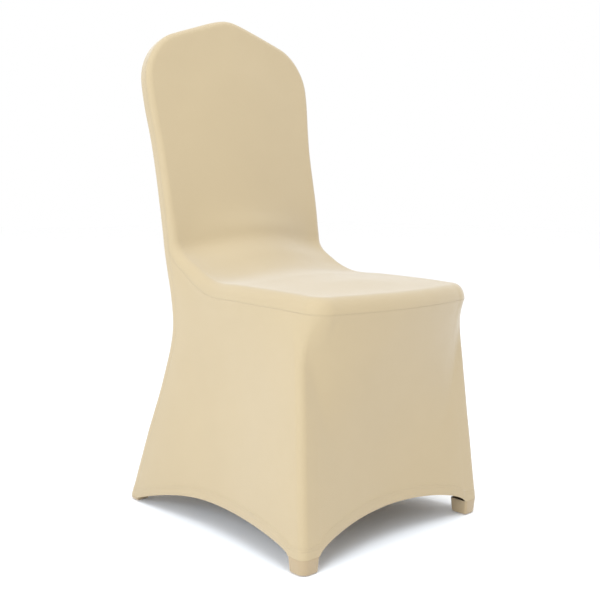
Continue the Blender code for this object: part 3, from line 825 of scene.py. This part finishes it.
def relief(points, normals, from_hem):
    """Moves the surface out by the doubled hem and the cloth's faint unevenness, never below the floor."""
    hem_part = 1.0 - smooth_step((from_hem - HEM_WIDTH + HEM_STEP) / HEM_STEP)
    uneven = np.array([
        noise.noise(Vector(point) / WAVE) + FINE_WAVE_SHARE * noise.noise(Vector(point) / FINE_WAVE)
        for point in points
    ])
    raised = points + normals * (HEM_PROUD * hem_part + UNEVEN_DEPTH * uneven)[:, None]
    raised[:, 2] = np.maximum(raised[:, 2], 0.0)
    return raised


def shader_node(tree, kind, **values):
    """A new node, with its plain settings and the values or links of its inputs."""
    node = tree.nodes.new(kind)
    inputs = values.pop("inputs", {})
    for name, value in values.items():
        setattr(node, name, value)
    for name, value in inputs.items():
        if isinstance(value, bpy.types.NodeSocket):
            tree.links.new(value, node.inputs[name])
        else:
            node.inputs[name].default_value = value
    return node


def calculate(tree, operation, first, second=0.0, third=0.0):
    """Output of a maths node."""
    inputs = {0: first, 1: second, 2: third}
    return shader_node(tree, "ShaderNodeMath", operation=operation, inputs=inputs).outputs[0]


def step_up(tree, value, low, high):
    """A smooth step from 0 at low to 1 at high."""
    inputs = {"Value": value, "From Min": low, "From Max": high}
    node = shader_node(tree, "ShaderNodeMapRange", interpolation_type="SMOOTHSTEP", inputs=inputs)
    return node.outputs["Result"]


def step_down(tree, value, fade):
    """A smooth step from 1 to 0 between the two ends of the fade."""
    return calculate(tree, "SUBTRACT", 1.0, step_up(tree, value, *fade))


def knit_height(tree, cloth):
    """Height of the knit's ribs and leaning loops, from 0 to 1."""
    place = shader_node(tree, "ShaderNodeSeparateXYZ", inputs={0: cloth})
    across = calculate(tree, "MULTIPLY", place.outputs["X"], 1.0 / WALE)
    across = calculate(tree, "SUBTRACT", calculate(tree, "FRACT", across), 0.5)
    across = calculate(tree, "MULTIPLY", calculate(tree, "ABSOLUTE", across), 2.0)
    lean = calculate(tree, "MULTIPLY", across, LOOP_LEAN)
    along = calculate(tree, "MULTIPLY_ADD", place.outputs["Y"], 1.0 / COURSE, lean)
    loops = calculate(tree, "SINE", calculate(tree, "MULTIPLY", along, 2.0 * math.pi))
    rib = calculate(tree, "SUBTRACT", 1.0, calculate(tree, "MULTIPLY", across, across))
    loops = calculate(tree, "MULTIPLY_ADD", loops, LOOP_SHARE, 1.0 - LOOP_SHARE)
    return calculate(tree, "MULTIPLY", rib, loops)


def stitch_line(tree, distance, run, centre):
    """Depth from 0 to 1 of a row of stitches that lies at a distance from an edge."""
    away = calculate(tree, "ABSOLUTE", calculate(tree, "SUBTRACT", distance, centre))
    line = step_down(tree, away, STITCH_WIDTH)
    along = calculate(tree, "FRACT", calculate(tree, "MULTIPLY", run, 1.0 / STITCH))
    off_middle = calculate(tree, "ABSOLUTE", calculate(tree, "SUBTRACT", along, 0.5))
    dash = step_down(tree, off_middle, STITCH_ENDS)
    dash = calculate(tree, "MULTIPLY_ADD", dash, 1.0 - STITCH_GAP_DEPTH, STITCH_GAP_DEPTH)
    return calculate(tree, "MULTIPLY", line, dash)


def noise_texture(tree, place, settings):
    """Output of a noise texture with a scale and detail."""
    inputs = dict(settings, Vector=place)
    return shader_node(tree, "ShaderNodeTexNoise", inputs=inputs).outputs["Fac"]


def cloth_material(name, colour):
    """Stretch knit: fine ribs, a soft sheen, grooves at its seams and two rows of stitches at its hem, with
    painted shade in the grooves and stitches.
    """
    material = bpy.data.materials.new(name)
    material.use_nodes = True
    tree = material.node_tree
    shader = tree.nodes["Principled BSDF"]
    cloth = shader_node(tree, "ShaderNodeUVMap", uv_map="cloth").outputs["UV"]
    edge = shader_node(tree, "ShaderNodeUVMap", uv_map="edge").outputs["UV"]
    hem = shader_node(tree, "ShaderNodeAttribute", attribute_name="hem").outputs["Fac"]
    edge_parts = shader_node(tree, "ShaderNodeSeparateXYZ", inputs={0: edge})
    run, seam = edge_parts.outputs["X"], edge_parts.outputs["Y"]
    place = shader_node(tree, "ShaderNodeTexCoord").outputs["Object"]

    groove = step_down(tree, seam, GROOVE)
    ridge = step_down(tree, seam, RIDGE)
    turned = step_down(tree, hem, HEM_EDGE)
    stitches = calculate(
        tree, "ADD",
        stitch_line(tree, hem, run, HEM_WIDTH - HEM_STITCHES[0]),
        stitch_line(tree, hem, run, HEM_WIDTH - HEM_STITCHES[1]),
    )

    fibres = noise_texture(tree, place, FIBRE_NOISE)
    mottle = noise_texture(tree, place, MOTTLE_NOISE)
    height = calculate(tree, "MULTIPLY", knit_height(tree, cloth), KNIT_DEPTH)
    height = calculate(tree, "MULTIPLY_ADD", groove, -GROOVE_DEPTH, height)
    height = calculate(tree, "MULTIPLY_ADD", ridge, RIDGE_HEIGHT, height)
    height = calculate(tree, "MULTIPLY_ADD", turned, HEM_PROUD, height)
    height = calculate(tree, "MULTIPLY_ADD", stitches, -STITCH_DEPTH, height)
    height = calculate(tree, "MULTIPLY_ADD", fibres, FIBRE_DEPTH, height)
    inputs = {"Height": height, "Distance": 1.0, "Strength": 1.0}
    bump = shader_node(tree, "ShaderNodeBump", inputs=inputs)
    tree.links.new(bump.outputs["Normal"], shader.inputs["Normal"])

    shade = calculate(tree, "MULTIPLY_ADD", mottle, MOTTLE_SHADE, BASE_SHADE)
    shade = calculate(tree, "MULTIPLY_ADD", fibres, FIBRE_SHADE, shade)
    # Painted shade: the seam grooves and stitch dents are darkened in the base colour, standing in for the
    # shade that falls in them
    painted_shade = calculate(tree, "MULTIPLY", stitches, STITCH_PAINTED_SHADE)
    painted_shade = calculate(tree, "MULTIPLY_ADD", groove, GROOVE_PAINTED_SHADE, painted_shade)
    shade = calculate(tree, "SUBTRACT", shade, painted_shade)
    tint = shader_node(tree, "ShaderNodeHueSaturation", inputs={"Value": shade, "Color": colour})
    tree.links.new(tint.outputs["Color"], shader.inputs["Base Color"])
    shader.inputs["Roughness"].default_value = CLOTH_ROUGHNESS
    shader.inputs["Specular IOR Level"].default_value = CLOTH_SPECULAR
    shader.inputs["Sheen Weight"].default_value = SHEEN_WEIGHT
    shader.inputs["Sheen Roughness"].default_value = SHEEN_ROUGHNESS
    shader.inputs["Sheen Tint"].default_value = WHITE
    return material


def add_piece(name, points, faces, facts, material):
    """A smooth mesh that carries its corners' facts as two UV maps and the attribute of the hem."""
    mesh = bpy.data.meshes.new(name)
    mesh.from_pydata(points.tolist(), [], faces)
    values = np.concatenate([np.array(known) for known in facts])
    mesh.uv_layers.new(name="cloth").data.foreach_set("uv", values[:, :2].astype(np.float32).ravel())
    mesh.uv_layers.new(name="edge").data.foreach_set("uv", values[:, 2:4].astype(np.float32).ravel())
    hem = mesh.attributes.new("hem", "FLOAT", "CORNER")
    hem.data.foreach_set("value", values[:, 4].astype(np.float32))
    mesh.shade_smooth()
    mesh.set_sharp_from_angle(angle=SHARP_EDGE)
    mesh.materials.append(material)
    piece = bpy.data.objects.new(name, mesh)
    bpy.context.scene.collection.objects.link(piece)
    return piece


def dress_cover():
    """Replaces every node of the frame with its finished piece of cloth."""
    pieces = {name: gather(patches) for name, patches in cover_patches().items()}
    normals = surface_normals(pieces)
    owners = {}
    for name, (points, _, _) in pieces.items():
        for point in points:
            owners.setdefault(point_key(point), set()).add(name)
    shared = {key for key, names in owners.items() if len(names) > 1}
    panel_cloth = cloth_material("stretch_knit", CLOTH_COLOUR)
    pocket_cloth = cloth_material("pocket_knit", POCKET_COLOUR)
    for name, (points, faces, facts) in pieces.items():
        outward = point_normals(points, normals)
        hem = np.full(len(points), FAR)
        for face, known in zip(faces, facts):
            hem[list(face)] = [fact[-1] for fact in known]
        sewn = [point_key(point) in shared for point in points]
        raised = relief(points, outward, hem)
        cut = thicken(raised, faces, facts, outward, sewn)
        material = pocket_cloth if name.startswith("foot_pocket") else panel_cloth
        piece = add_piece(name + "_cloth", *cut, material)
        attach(piece, "root")
        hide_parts(name)


def add_camera():
    """The camera of the photograph: low in front of the cover's left corner."""
    turn, lift = math.radians(CAMERA_AZIMUTH), math.radians(CAMERA_ELEVATION)
    back = Vector((math.sin(turn) * math.cos(lift), -math.cos(turn) * math.cos(lift), math.sin(lift)))
    data = bpy.data.cameras.new("camera")
    data.lens = CAMERA_LENS
    data.sensor_width = CAMERA_SENSOR
    data.clip_start, data.clip_end = CAMERA_CLIP
    camera = bpy.data.objects.new("camera", data)
    camera.location = Vector(CAMERA_AIM) + back * CAMERA_DISTANCE
    camera.rotation_mode = "QUATERNION"
    camera.rotation_quaternion = (-back).to_track_quat("-Z", "Y")
    bpy.context.scene.collection.objects.link(camera)
    bpy.context.scene.camera = camera


def add_lights():
    """The soft boxes and the white room, which also shows as the background."""
    for row in LIGHTS:
        light = dict(zip(LIGHT_COLUMNS, row))
        data = bpy.data.lights.new(light["name"], "AREA")
        data.shape = "SQUARE"
        data.size = light["size"]
        data.energy = light["power"]
        data.color = light["colour"]
        lamp = bpy.data.objects.new(light["name"], data)
        lamp.location = light["place"]
        lamp.rotation_mode = "QUATERNION"
        lamp.rotation_quaternion = (Vector(LIGHT_AIM) - lamp.location).to_track_quat("-Z", "Y")
        bpy.context.scene.collection.objects.link(lamp)
    world = bpy.data.worlds.new("white_room")
    world.use_nodes = True
    background = world.node_tree.nodes["Background"]
    background.inputs["Color"].default_value = WHITE
    background.inputs["Strength"].default_value = ROOM_LIGHT
    bpy.context.scene.world = world
    bpy.context.scene.view_settings.view_transform = "Standard"


def add_floor():
    """A plain pale floor under the cover, which belongs to the studio."""
    half = 0.5 * FLOOR_SIZE
    mesh = bpy.data.meshes.new("floor")
    corners = [(-half, -half, 0.0), (half, -half, 0.0), (half, half, 0.0), (-half, half, 0.0)]
    mesh.from_pydata(corners, [], [(0, 1, 2, 3)])
    material = bpy.data.materials.new("pale_floor")
    material.use_nodes = True
    shader = material.node_tree.nodes["Principled BSDF"]
    shader.inputs["Base Color"].default_value = WHITE
    shader.inputs["Roughness"].default_value = FLOOR_ROUGHNESS
    shader.inputs["Specular IOR Level"].default_value = FLOOR_SPECULAR
    mesh.materials.append(material)
    floor = bpy.data.objects.new("floor", mesh)
    bpy.context.scene.collection.objects.link(floor)


dress_cover()
add_camera()
add_lights()
add_floor()
